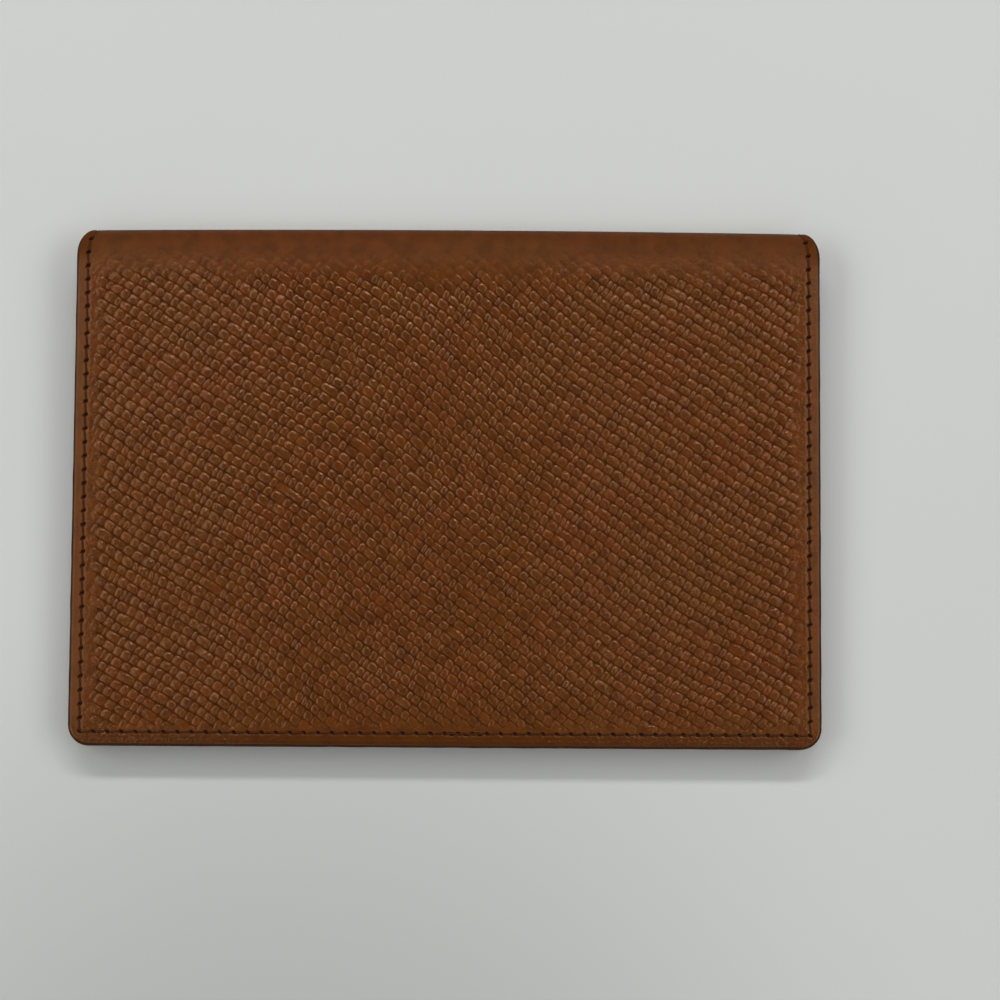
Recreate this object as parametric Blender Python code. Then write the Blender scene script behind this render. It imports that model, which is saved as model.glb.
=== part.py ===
"""A folding leather passport holder, closed and lying on its back cover.

Metres, +Z up. X runs along the spine, +Y points to the spine and the origin is under the middle of the
holder. Every layer is first laid out on the unrolled sheet, in millimetres: x along the spine, t across
the sheet from the top of the fold (the apex), and h the depth below the outer face. folded() then bends
that sheet round the fold: the back cover below, the front cover above.
"""

import math

import bmesh
import bpy
from mathutils import Matrix, Vector

MM = 0.001

# The whole holder
LENGTH = 140.0  # along the spine, over the edge paint
DEPTH = 97.4  # from the open edge to the outside of the fold
COAT = 0.2  # edge paint, standing out past the leather
CORNER = 4.0  # round of the free corners

# Layers, from the outside in
OUTER = 1.1
GLUE = 0.06
LINING = 0.5
BOARD = 0.4
SLEEVE = 0.7
SLOT = 0.7  # room behind a sleeve for one cover of a passport

# The fold
FOLD_R = 4.2  # outer radius, so the holder is 8.4 mm thick at the spine
NEUTRAL_R = FOLD_R - OUTER / 2  # the radius at which the leather keeps its length
HINGE_R = NEUTRAL_R * math.pi / (2 * math.sqrt(2))  # keeps the spine's length when it opens flat
HINGE_GAP = math.radians(3.0)  # half the gap between a cover's lip and the spine
LEAN = math.radians(1.2)  # how far the front cover sinks towards the open edge
WAIST = 2.4  # how far both ends of the sheet are cut in at the fold
WAIST_RUN = 5.6  # length of that cut, seen from above
WAIST_SOFT = 0.15  # rounds the bottom of the cut
WAIST_MARGIN = 0.35  # share by which the seam's margin narrows there
FOLD_STEPS = 16  # facets in half of the fold

# The seam
SEAM_INSET = 2.0  # from the leather's side edges
FREE_EDGE_SHARE = 1.2  # margins are this much wider along the open edge
THREAD = 0.5
THREAD_H = 0.3
GROOVE_DEPTH = 0.36  # the thread lies flush, so that the holder rests on leather
GROOVE_WALL = 0.1  # width of each sloping wall
GROOVE_HALF = THREAD / 2 + 0.1  # half the width of its floor
CREASE_INSET = 1.0
CREASE_DEPTH = 0.12
LIFT = 0.05  # clearance between the thread and the bottom of its groove

# The sleeves and the boards
SLEEVE_DEPTH = 70.0  # from the open edge to the sleeve's mouth
SLEEVE_MARGIN = 4.0  # sewn flat on the lining
SLEEVE_RAMP = 1.3
SLEEVE_SPLIT = 5.8  # where the sewn margin meets the panel: one leather, two solids
SPLIT_GAP = 0.05
BOARD_INSET = 7.0
BOARD_PLAY = 0.3
POCKET = BOARD + 0.06  # depth of the recess that takes the board

QUARTER = math.pi / 2
HALF = LENGTH / 2 - COAT
FOLD_Y = DEPTH / 2 - FOLD_R
FLAT = QUARTER * NEUTRAL_R  # t at which the sheet leaves the fold
FREE = FLAT + FOLD_Y + DEPTH / 2 - COAT  # t of the leather's free edge
MOUTH = FREE - SLEEVE_DEPTH
LINING_TOP = OUTER + GLUE
LINING_FACE = LINING_TOP + LINING
LOW = LINING_FACE + GLUE  # sleeve margin, outer face
HIGH = LINING_FACE + SLOT  # raised part of the sleeve, outer face
HINGE_Y = FOLD_Y + HINGE_R * math.cos(QUARTER / 2)
HINGE_DROP = HINGE_R * math.sin(QUARTER / 2)

# Colour, roughness
MATERIALS = {
    "outer_leather": ((0.115, 0.042, 0.012), 0.48),
    "lining_leather": ((0.150, 0.062, 0.022), 0.62),
    "sleeve_leather": ((0.135, 0.052, 0.017), 0.55),
    "board": ((0.260, 0.225, 0.180), 0.90),
    "thread": ((0.024, 0.011, 0.006), 0.65),
    "edge_paint": ((0.022, 0.010, 0.005), 0.38),
}


def clear_scene():
    for obj in list(bpy.data.objects):
        bpy.data.objects.remove(obj, do_unlink=True)


def make_material(name):
    colour, roughness = MATERIALS[name]
    material = bpy.data.materials.new(name)
    material.use_nodes = True
    shader = material.node_tree.nodes["Principled BSDF"]
    shader.inputs["Base Color"].default_value = (*colour, 1.0)
    shader.inputs["Roughness"].default_value = roughness
    shader.inputs["Metallic"].default_value = 0.0
    material.diffuse_color = (*colour, 1.0)
    return material


def folded(x, t, h):
    """The place of a point of the sheet once it is bent round the fold: t below 0 is the back cover."""
    angle = max(-QUARTER, min(QUARTER, t / NEUTRAL_R))
    past = max(0.0, abs(t) - FLAT)
    radius = FOLD_R - h
    return Vector((x, FOLD_Y + radius * math.cos(angle) - past, FOLD_R + radius * math.sin(angle)))


def side_x(t, inset):
    """Half the sheet's width, less the inset: straight on the covers and cut in round at the fold."""
    seen_y = folded(0.0, t, 0.0).y
    near = max(0.0, (seen_y - DEPTH / 2 + WAIST_RUN) / WAIST_RUN)
    full = math.sqrt(1.0 + WAIST_SOFT**2) - WAIST_SOFT
    cut = 1.0 - (math.sqrt(max(0.0, 1.0 - near**2) + WAIST_SOFT**2) - WAIST_SOFT) / full
    return HALF - WAIST * cut - inset * (1.0 - WAIST_MARGIN * cut)


def side_stations(start):
    """Values of t down one side of a cover: close together in the fold, then where something changes."""
    fold = [FLAT * step / FOLD_STEPS for step in range(FOLD_STEPS + 1)]
    waist = [FLAT + 0.5, FLAT + 1.0, FLAT + 1.5]
    mouth = [MOUTH - 0.95, MOUTH - 0.2, MOUTH + 0.6]
    return [start] + [t for t in fold + waist + mouth if t > start + 0.05]


def cover_path(start, inset, corner_steps=6):
    """Points (x, t) down one side of a cover, across its free edge and up the other side."""
    side = [(side_x(t, inset), t) for t in side_stations(start)]
    end = FREE - inset * (FREE_EDGE_SHARE if inset > 0 else 1.0)
    radius = max(CORNER - inset, 0.5)
    centre = Vector((HALF - inset - radius, end - radius))
    for step in range(corner_steps + 1):
        angle = QUARTER * step / corner_steps
        side.append((centre.x + radius * math.cos(angle), centre.y + radius * math.sin(angle)))
    return [(-x, t) for x, t in side] + [(x, t) for x, t in reversed(side)]


def spine_path(inset, sign):
    """Points (x, t) across the spine along one of its ends, from the back hinge to the front hinge."""
    reach = NEUTRAL_R * (QUARTER / 2 - HINGE_GAP)
    stations = [reach * (2 * step / FOLD_STEPS - 1) for step in range(FOLD_STEPS + 1)]
    return [(sign * side_x(t, inset), t) for t in stations]


def ring_faces(bm, rings, closed_section):
    """Walls between neighbouring rows of vertices."""
    pairs = list(zip(rings, rings[1:]))
    if closed_section:
        pairs.append((rings[-1], rings[0]))
    for near, far in pairs:
        for i in range(len(near) - 1):
            bm.faces.new((near[i], near[i + 1], far[i + 1], far[i]))


def cover_sheet(profile, start):
    """One layer of a cover. profile lists (inset, h) from the middle of its inner face, round its edge,
    to the middle of its outer face."""
    bm = bmesh.new()
    rings = []
    for inset, h in profile:
        path = cover_path(start, inset)
        rings.append([bm.verts.new((x, t, h)) for x, t in path])
    ring_faces(bm, rings, closed_section=False)
    middles = [fill_middle(bm, ring, start) for ring in (rings[0], rings[-1])]
    left = [ring[0] for ring in rings]
    right = [ring[-1] for ring in reversed(rings)]
    bm.faces.new(left + right)
    return bm, middles


def fill_middle(bm, ring, start):
    """Closes the middle of a face with strips across the fold and one large face beyond them. Returns
    the large one."""
    strips = sum(1 for t in side_stations(start) if t < FLAT + 0.01) - 1
    strips = max(strips, 0)
    last = len(ring) - 1
    for i in range(strips):
        bm.faces.new((ring[i], ring[i + 1], ring[last - i - 1], ring[last - i]))
    return bm.faces.new(ring[strips : last + 1 - strips])


def spine_sheet(profile):
    """One layer of the spine: a cross-section across its whole width, drawn from hinge to hinge."""
    bm = bmesh.new()
    left = [spine_path(inset, -1) for inset, _ in profile]
    right = [spine_path(inset, 1) for inset, _ in reversed(profile)]
    heights = [h for _, h in profile]
    heights += heights[::-1]
    rows = [
        [bm.verts.new((x, t, h)) for x, t in path] for path, h in zip(left + right, heights)
    ]
    ring_faces(bm, rows, closed_section=True)
    bm.faces.new([row[0] for row in rows])
    bm.faces.new([row[-1] for row in rows])
    return bm


def strand(paths, heights):
    """A closed section drawn along its paths, such as a thread. heights holds a function of t for each."""
    bm = bmesh.new()
    rows = [
        [bm.verts.new((x, t, height(t))) for x, t in path]
        for path, height in zip(paths, heights)
    ]
    ring_faces(bm, rows, closed_section=True)
    bm.faces.new([row[0] for row in rows])
    bm.faces.new([row[-1] for row in rows])
    return bm


def place(bm, side, lean):
    """Bends the sheet's points round the fold and tips the front cover down about its hinge."""
    tip = Matrix.Rotation(LEAN, 4, "X") if lean else Matrix.Identity(4)
    hinge = Vector((0.0, HINGE_Y, FOLD_R + HINGE_DROP))
    for vert in bm.verts:
        x, t, h = vert.co
        vert.co = hinge + tip @ (folded(x, side * t, h) - hinge)
    bmesh.ops.recalc_face_normals(bm, faces=bm.faces)
    if bm.calc_volume(signed=True) < 0:
        bmesh.ops.reverse_faces(bm, faces=bm.faces)


def add_object(name, bm, material, parent):
    """Makes the object. Its origin is on the hinge of the body that it moves with."""
    origin = parent.matrix_world.translation if parent else Vector()
    bmesh.ops.scale(bm, vec=Vector((MM, MM, MM)), verts=bm.verts)
    bmesh.ops.translate(bm, vec=-origin, verts=bm.verts)
    mesh = bpy.data.meshes.new(name)
    bm.to_mesh(mesh)
    bm.free()
    mesh.polygons.foreach_set("use_smooth", [True] * len(mesh.polygons))
    mesh.set_sharp_from_angle(angle=math.radians(32.0))
    mesh.materials.append(material)
    obj = bpy.data.objects.new(name, mesh)
    bpy.context.scene.collection.objects.link(obj)
    obj.parent = parent
    return obj


def add_hinge(name, z, parent):
    """An empty on a hinge's axis."""
    hinge = bpy.data.objects.new(name, None)
    bpy.context.scene.collection.objects.link(hinge)
    place_at = Vector((0.0, HINGE_Y * MM, z * MM))
    hinge.parent = parent
    hinge.location = place_at - (parent.matrix_world.translation if parent else Vector())
    bpy.context.view_layer.update()
    return hinge


def seam_groove(face, inwards):
    """The groove that the seam lies in, from the edge's side of it to the middle's. inwards is 1 where
    the face looks out of the holder and -1 where it looks into it."""
    floor = face + inwards * GROOVE_DEPTH
    return [
        (SEAM_INSET - GROOVE_HALF - GROOVE_WALL, face),
        (SEAM_INSET - GROOVE_HALF, floor),
        (SEAM_INSET + GROOVE_HALF, floor),
        (SEAM_INSET + GROOVE_HALF + GROOVE_WALL, face),
    ]


def outer_profile(middle):
    """Outer leather: a rounded edge, then the crease and the groove that the seam lies in."""
    return [
        (middle, OUTER),
        (0.08, OUTER),
        (0.0, OUTER - 0.12),
        (0.0, 0.32),
        (0.1, 0.1),
        (0.32, 0.0),
        (CREASE_INSET - 0.2, 0.0),
        (CREASE_INSET, CREASE_DEPTH),
        (CREASE_INSET + 0.2, 0.0),
        *seam_groove(0.0, 1.0),
        (middle, 0.0),
    ]


def lining_profile(middle):
    return [
        (middle, LINING_FACE),
        *reversed(seam_groove(LINING_FACE, -1.0)),
        (0.06, LINING_FACE),
        (0.0, LINING_FACE - 0.1),
        (0.0, LINING_TOP + 0.06),
        (0.06, LINING_TOP),
        (middle, LINING_TOP),
    ]


def sleeve_margin_section():
    """Round the sleeve's sewn margin: flat on the lining at the edge, then a ramp up to the panel."""
    ramp_end = SLEEVE_MARGIN + SLEEVE_RAMP
    bend = SLEEVE * math.tan(math.atan2(HIGH - LOW, SLEEVE_RAMP) / 2)
    return [
        (SLEEVE_SPLIT, HIGH + SLEEVE),
        (ramp_end, HIGH + SLEEVE),
        (SLEEVE_MARGIN, LOW + SLEEVE),
        *reversed(seam_groove(LOW + SLEEVE, -1.0)),
        (0.2, LOW + SLEEVE),
        (0.0, LOW + SLEEVE - 0.2),
        (0.0, LOW + 0.06),
        (0.06, LOW),
        (SLEEVE_MARGIN + bend, LOW),
        (ramp_end + bend, HIGH),
        (SLEEVE_SPLIT, HIGH),
    ]


def flat_plate(start, inset, low, high):
    """A flat plate inside a cover's outline, from h low to h high."""
    path = cover_path(start, inset)
    bm = bmesh.new()
    under = [bm.verts.new((x, t, low)) for x, t in path]
    over = [bm.verts.new((x, t, high)) for x, t in path]
    ring_faces(bm, [under, over], closed_section=False)
    bm.faces.new((under[0], under[-1], over[-1], over[0]))
    bm.faces.new(under)
    bm.faces.new(over)
    return bm


def cut_board_pocket(bm, face):
    """Sinks a recess for the board into the inner face of the outer leather."""
    wall = bmesh.ops.extrude_face_region(bm, geom=[face])
    bm.faces.remove(face)
    for item in wall["geom"]:
        if isinstance(item, bmesh.types.BMVert):
            item.co.z -= POCKET


def thread_section(base, standing):
    """(offset across the seam, h) round a thread: a low round top over a flat foot."""
    wide = THREAD / 2
    foot = base
    top = base - standing * THREAD_H
    knee = base - standing * THREAD_H * 0.45
    left = [(-wide, foot), (-wide, knee), (-wide * 0.55, top)]
    return left + [(-offset, h) for offset, h in reversed(left)]


def step_at_mouth(t):
    """Rise of the inner face from the lining onto the sleeve's margin."""
    rise = LOW + SLEEVE - LINING_FACE
    share = (t - (MOUTH - 0.95)) / 0.75
    return rise * max(0.0, min(1.0, share))


def seam_parts(inner):
    """The section of the outer or inner thread and how far it rises at the sleeve's mouth."""
    if inner:
        return thread_section(LINING_FACE - GROOVE_DEPTH + LIFT, -1.0), step_at_mouth
    return thread_section(GROOVE_DEPTH - LIFT, 1.0), lambda t: 0.0


def coat_section():
    """(inset, h, share of the rise at the mouth) round the edge paint: a flat back and a round front."""
    top = 0.16
    bottom = LINING_FACE - 0.08
    middle = (top + bottom) / 2
    return [
        (-0.05, top, 0.0),
        (-0.05, bottom, 1.0),
        (-COAT * 0.8, bottom - 0.2, 1.0),
        (-COAT, middle, 0.6),
        (-COAT * 0.8, top + 0.2, 0.0),
    ]


def fixed_height(h, share=0.0, rise=step_at_mouth):
    return lambda t: h + share * rise(t)


def cover_strand(section, start, rise):
    paths = [cover_path(start, inset) for inset, _, _ in section]
    heights = [fixed_height(h, share, rise) for _, h, share in section]
    return strand(paths, heights)


def spine_strand(section, sign):
    paths = [spine_path(inset, sign) for inset, _, _ in section]
    heights = [lambda t, h=h: h for _, h, _ in section]
    return strand(paths, heights)


def add_cover(name, side, parent, start, materials):
    """All the layers of one cover."""
    lean = side > 0
    middle = BOARD_INSET

    bm, (inner_face, _) = cover_sheet(outer_profile(middle), start)
    cut_board_pocket(bm, inner_face)
    layers = {"outer": (bm, "outer_leather")}

    board_h = OUTER - (POCKET + BOARD) / 2
    board = flat_plate(FLAT + BOARD_PLAY, BOARD_INSET + BOARD_PLAY, board_h, board_h + BOARD)
    panel = flat_plate(MOUTH, SLEEVE_SPLIT + SPLIT_GAP, HIGH, HIGH + SLEEVE)
    margin = [(inset, h, 0.0) for inset, h in sleeve_margin_section()]
    layers["board"] = (board, "board")
    layers["lining"] = (cover_sheet(lining_profile(middle), start)[0], "lining_leather")
    layers["sleeve"] = (panel, "sleeve_leather")
    layers["sleeve_margin"] = (cover_strand(margin, MOUTH, step_at_mouth), "sleeve_leather")
    for label, inner in (("seam_outer", False), ("seam_inner", True)):
        section, rise = seam_parts(inner)
        points = [(SEAM_INSET + across, h, 1.0) for across, h in section]
        layers[label] = (cover_strand(points, start, rise), "thread")
    layers["edge_coat"] = (cover_strand(coat_section(), start, step_at_mouth), "edge_paint")

    for label, (mesh, material) in layers.items():
        place(mesh, side, lean)
        add_object(f"{name}_{label}", mesh, materials[material], parent)


def add_spine(parent, materials):
    """The layers that run round the fold, between the two hinges."""
    layers = {
        "outer": (spine_sheet(outer_profile(BOARD_INSET)), "outer_leather"),
        "lining": (spine_sheet(lining_profile(BOARD_INSET)), "lining_leather"),
    }
    for end, sign in (("left", -1), ("right", 1)):
        for label, inner in (("seam_outer", False), ("seam_inner", True)):
            section, _ = seam_parts(inner)
            points = [(SEAM_INSET + across, h, 0.0) for across, h in section]
            layers[f"{label}_{end}"] = (spine_strand(points, sign), "thread")
        layers[f"edge_coat_{end}"] = (spine_strand(coat_section(), sign), "edge_paint")
    for label, (mesh, material) in layers.items():
        place(mesh, 1, lean=False)
        add_object(f"spine_{label}", mesh, materials[material], parent)


def main():
    clear_scene()
    materials = {name: make_material(name) for name in MATERIALS}
    start = NEUTRAL_R * (QUARTER / 2 + HINGE_GAP)
    spine_hinge = add_hinge("hinge_spine", FOLD_R - HINGE_DROP, None)
    front_hinge = add_hinge("hinge_front_cover", FOLD_R + HINGE_DROP, spine_hinge)
    add_cover("back", -1, None, start, materials)
    add_spine(spine_hinge, materials)
    add_cover("front", 1, front_hinge, start, materials)


main()
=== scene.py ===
"""The looks of a folding leather passport holder, closed, lying on its back cover on a pale table.

Lengths are in millimetres until a mesh is made, which is in metres. Each layer is laid out on the
unrolled sheet: x along the spine, t across the sheet from the top of the fold, h the depth below
the outer face. bend() then folds it the way the CAD model does. The front and back halves of a
layer meet at the top of the fold.
"""

import math

import bpy
import numpy as np
from mathutils import Matrix, Vector
from mathutils.geometry import delaunay_2d_cdt


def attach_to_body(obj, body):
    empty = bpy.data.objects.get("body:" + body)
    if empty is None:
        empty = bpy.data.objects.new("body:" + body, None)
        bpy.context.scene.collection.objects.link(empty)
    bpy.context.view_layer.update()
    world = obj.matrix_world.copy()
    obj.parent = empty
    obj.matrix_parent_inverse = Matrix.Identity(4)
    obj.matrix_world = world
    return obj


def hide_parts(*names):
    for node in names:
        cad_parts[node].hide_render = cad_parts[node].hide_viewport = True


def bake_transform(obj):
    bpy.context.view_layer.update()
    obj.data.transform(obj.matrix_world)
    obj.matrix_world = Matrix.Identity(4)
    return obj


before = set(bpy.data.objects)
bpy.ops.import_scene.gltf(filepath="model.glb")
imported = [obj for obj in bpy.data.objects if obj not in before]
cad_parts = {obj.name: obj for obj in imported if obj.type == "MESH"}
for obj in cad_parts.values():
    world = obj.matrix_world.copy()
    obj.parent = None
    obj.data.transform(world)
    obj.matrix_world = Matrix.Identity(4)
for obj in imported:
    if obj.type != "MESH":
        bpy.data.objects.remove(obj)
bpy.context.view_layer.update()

MM = 0.001
SEED = 41

# The holder, as in the CAD model
LENGTH = 140.0
DEPTH = 97.4
COAT = 0.2
CORNER = 4.0
OUTER = 1.1
LINING_TOP = 1.16
LINING_FACE = 1.66
SLEEVE = 0.7
LOW = 1.72
HIGH = 2.36
FOLD_R = 4.2
NEUTRAL_R = 3.65
LEAN = math.radians(1.2)
WAIST = 2.4
WAIST_RUN = 5.6
WAIST_SOFT = 0.15
WAIST_MARGIN = 0.35
FREE_EDGE_SHARE = 1.2
SLEEVE_DEPTH = 70.0
SLEEVE_MARGIN = 4.0
SLEEVE_RAMP = 1.3

QUARTER = math.pi / 2
HALF = LENGTH / 2 - COAT
FOLD_Y = DEPTH / 2 - FOLD_R
FLAT = QUARTER * NEUTRAL_R
FREE = FLAT + FOLD_Y + DEPTH / 2 - COAT
MOUTH = FREE - SLEEVE_DEPTH
HINGE_R = NEUTRAL_R * math.pi / (2 * math.sqrt(2))
HINGE_Y = FOLD_Y + HINGE_R * math.cos(QUARTER / 2)
HINGE_Z = FOLD_R + HINGE_R * math.sin(QUARTER / 2)

# The seam
SEAM = 2.0
PITCH = 2.6
THREAD = 0.36
THREAD_LIE = 0.09  # depth of a stitch's middle line below the leather's face
THREAD_DIVE = 0.34  # how much deeper its ends go
THREAD_FLAT = 0.85  # height of the thread as a share of its width
THREAD_SIDES = 8
THREAD_SPOTS = 11
HOLE_LONG = 0.58
HOLE_WIDE = 0.35
HOLE_RINGS = ((1.0, 10, 0.05), (0.7, 8, 0.28), (0.25, 4, 0.42))  # share of the size, points, dip
HOLE_CLEARANCE = 1.12
SLIT_SIDE = math.radians(-36.0)  # the slits' slant on the sides and along the free edge
SLIT_FOOT = math.radians(28.0)
SIDE_BAND = 3.4
CORNER_BAND = 4.0
TACK_AT = 2.4  # x where the seam ends, in the row along the free edge
TACK_REACH = 3.9
TACK_SHIFT = (0.45 * PITCH, 0.1)
PRESSED = 0.14  # how deep the table presses the back's thread

# The grain
ROW_ANGLE = math.radians(35.0)  # rows run down to the right
ROW_STEP = 1.84
CROSS_STEP = 1.82
GRAIN_REACH = 90.0  # how far the rows are laid out from the middle, along and across
GRAIN_INSET = 2.75
FOLD_LINE = 0.35  # t where the grain begins
GROOVE = 0.26
GROOVE_HALF = 0.22  # half a groove's width
SQUARENESS = 2.25  # power of a pebble's rounded outline, where 2 is an ellipse
SPLIT_SHARE = 0.06
MISSING_SHARE = 0.02
BREAK_MIN = 0.8

BULGE = 0.45  # how far the fold stands out in the middle of its length
PUFF = 0.22  # how far the padded panel stands proud of the sewn margins

# The meshes
CURVED = FLAT + 2.4  # up to this t the points stand close together
BORDER_STEP = 0.8
CUT_STEP = 0.9
CORNER_SHRINK = 1.75  # how fast a corner's radius shrinks with the inset
CORNER_MIN = 0.5
DRIFT_WAVES = 7
PLAIN_TONE = 0.8
PLAIN_TINT = 0.5
HOLE_TONE = 0.25
UNDER_TONE = 0.6
FAR_INSET = 9.0

# Painted shadow on the table: it is darkest here.
PAINTED_SHADOW_PLACE = (-0.03, -0.14, 0.0)  # where the table is darkest, in metres

# Screen colours that several leathers share
CUT_EDGE = (46, 26, 16)
# The next colour is painted shade inside the needle holes.
HOLE_SHADE = (38, 12, 6)


def smooth(low, high, value):
    share = np.clip((value - low) / (high - low), 0.0, 1.0)
    return share * share * (3.0 - 2.0 * share)


def drift(rng, x, t, length):
    """A slow random wave over the sheet, about -1 to 1."""
    total = np.zeros_like(x)
    for _ in range(DRIFT_WAVES):
        angle, phase = rng.random(2) * 2 * math.pi
        step = length * (0.7 + 0.7 * rng.random())
        total += np.sin((x * math.cos(angle) + t * math.sin(angle)) * 2 * math.pi / step + phase)
    return total / math.sqrt(DRIFT_WAVES)


def side_x(t, inset=0.0):
    """Half the sheet's width, less the inset: straight on the covers, cut in round at the fold."""
    angle = np.clip(t / NEUTRAL_R, 0, QUARTER)
    seen_y = FOLD_Y + FOLD_R * np.cos(angle) - np.maximum(0.0, t - FLAT)
    near = np.maximum(0.0, (seen_y - DEPTH / 2 + WAIST_RUN) / WAIST_RUN)
    full = math.sqrt(1.0 + WAIST_SOFT**2) - WAIST_SOFT
    cut = np.sqrt(np.maximum(0.0, 1.0 - near**2) + WAIST_SOFT**2) - WAIST_SOFT
    cut = 1.0 - cut / full
    return HALF - WAIST * cut - inset * (1.0 - WAIST_MARGIN * cut)


def bend(points, side):
    """World places in millimetres of sheet points (x, t, h). side is 1 for the front half and -1
    for the back. A t below 0 is past the top of the fold, on the other half."""
    x, t, h = points.T
    angle = np.clip(t / NEUTRAL_R, -QUARTER, QUARTER)
    past = np.maximum(0.0, np.abs(t) - FLAT)
    radius = FOLD_R - h
    bulge = BULGE * (1.0 - (x / HALF) ** 2) * np.cos(angle) ** 2
    y = FOLD_Y + radius * np.cos(angle) - past + bulge
    rise = radius * np.sin(angle)
    world = np.stack([x, y, FOLD_R + side * rise], axis=1)
    if side > 0:
        turn = LEAN * smooth(0.0, FOLD_R, rise)
        dy = world[:, 1] - HINGE_Y
        dz = world[:, 2] - HINGE_Z
        world[:, 1] = HINGE_Y + dy * np.cos(turn) - dz * np.sin(turn)
        world[:, 2] = HINGE_Z + dy * np.sin(turn) + dz * np.cos(turn)
    return world


def stations(start):
    """Values of t down a half's side, close together round the fold."""
    if start >= CURVED:
        return [start]
    return [start, start + 0.04, *np.arange(start + 0.4, CURVED - 0.2, 0.4), CURVED]


def border(inset, start=0.0):
    """Points (x, t) of a line inside a half's outline: down its left side, along its free edge and
    up its right side. The number of points doesn't depend on the inset."""
    end = FREE - inset * FREE_EDGE_SHARE
    radius = max(CORNER_MIN, CORNER - CORNER_SHRINK * max(inset, 0.0))
    near = np.array(stations(start))
    far = np.linspace(near[-1], end - radius, round((FREE - near[-1]) / BORDER_STEP))[1:]
    t = np.concatenate([near, far])
    side = np.stack([side_x(t, inset), t], axis=1)
    angle = np.linspace(0.0, QUARTER, 10)[1:-1]
    centre = HALF - inset - radius
    arc_x = centre + radius * np.cos(angle)
    arc = np.stack([arc_x, end - radius + radius * np.sin(angle)], axis=1)
    across = np.linspace(centre, 0.0, round(HALF / BORDER_STEP))
    foot = np.stack([across, np.full_like(across, end)], axis=1)
    right = np.concatenate([side, arc, foot])
    left = right[:-1] * (-1.0, 1.0)
    return np.concatenate([left, right[::-1]])


def waist_share(t):
    """How far the margins narrow at t."""
    return side_x(t, 0.0) - side_x(t, 1.0)


def inset_of(x, t):
    """How far a point of the sheet is inside the outline, measured as the seam's margin is."""
    return np.minimum((side_x(t) - np.abs(x)) / waist_share(t), (FREE - t) / FREE_EDGE_SHARE)


def marked(place, dip, tone=PLAIN_TONE, tint=PLAIN_TINT):
    """Points (x, t, dip, tone, tint) from their places (x, t). One value may serve them all."""
    columns = [np.broadcast_to(value, len(place)) for value in (dip, tone, tint)]
    return np.column_stack([place, *columns])


def triangulate(points, edges):
    """Triangles over flat points, inside the closed line that the edges draw. Returns them and, for
    each point that is left, the number of the point it was made from."""
    made = delaunay_2d_cdt([Vector(p) for p in points.tolist()], edges, [], 1, 1e-4)
    source = np.array([ids[0] if ids else -1 for ids in made[3]])
    faces = np.array(made[2])
    return faces, source


# ---------------------------------------------------------------- the seam


def seam_marks(start):
    """Needle holes (x, t) along a half's seam, and those of the few stitches that lock its ends."""
    end = FREE - SEAM * FREE_EDGE_SHARE
    corner = HALF - SEAM
    rows = round((end - start - PITCH / 2) / PITCH)
    down = np.linspace(start + PITCH / 2, end, rows + 1)
    columns = round(2 * corner / PITCH)
    along = np.linspace(-corner, corner, columns + 1)
    left = [(-side_x(np.array([t]), SEAM)[0], t) for t in down]
    foot = [(x, end) for x in along[1:-1]]
    right = [(-x, t) for x, t in reversed(left)]
    locked = [(x, t) for x, t in foot if abs(x - TACK_AT) < TACK_REACH]
    tack = [(x + TACK_SHIFT[0], t + TACK_SHIFT[1]) for x, t in locked]
    return np.array(left + foot + right), np.array(tack)


def slit_directions(marks):
    """Direction (dx, dt) of each needle's slit: up to the right on the sides, down to the right
    along the free edge."""
    on_side = np.abs(marks[:, 0]) > HALF - SIDE_BAND
    corner = on_side & (marks[:, 1] > FREE - CORNER_BAND)
    angle = np.where(on_side & ~corner, SLIT_SIDE, SLIT_FOOT)
    return np.stack([np.cos(angle), np.sin(angle)], axis=1)


def hole_points(marks):
    """Points (x, t, dip) round and down each needle hole."""
    directions = slit_directions(marks)
    across = np.stack([-directions[:, 1], directions[:, 0]], axis=1)
    found = []
    for size, count, dip in HOLE_RINGS:
        for angle in np.linspace(0.0, 2 * math.pi, count, endpoint=False):
            place = marks + directions * (HOLE_LONG * size * math.cos(angle))
            place = place + across * (HOLE_WIDE * size * math.sin(angle))
            found.append(np.column_stack([place, np.full(len(marks), dip)]))
    return np.concatenate(found)


def near_holes(points, marks):
    """Whether each point lies in a needle hole or close to its edge."""
    long = HOLE_LONG * HOLE_CLEARANCE
    wide = HOLE_WIDE * HOLE_CLEARANCE
    directions = slit_directions(marks)
    inside = np.zeros(len(points), bool)
    for (x, t), (dx, dt) in zip(marks, directions):
        along = (points[:, 0] - x) * dx + (points[:, 1] - t) * dt
        over = (points[:, 1] - t) * dx - (points[:, 0] - x) * dt
        inside |= (along / long) ** 2 + (over / wide) ** 2 < 1.0
    return inside


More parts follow.
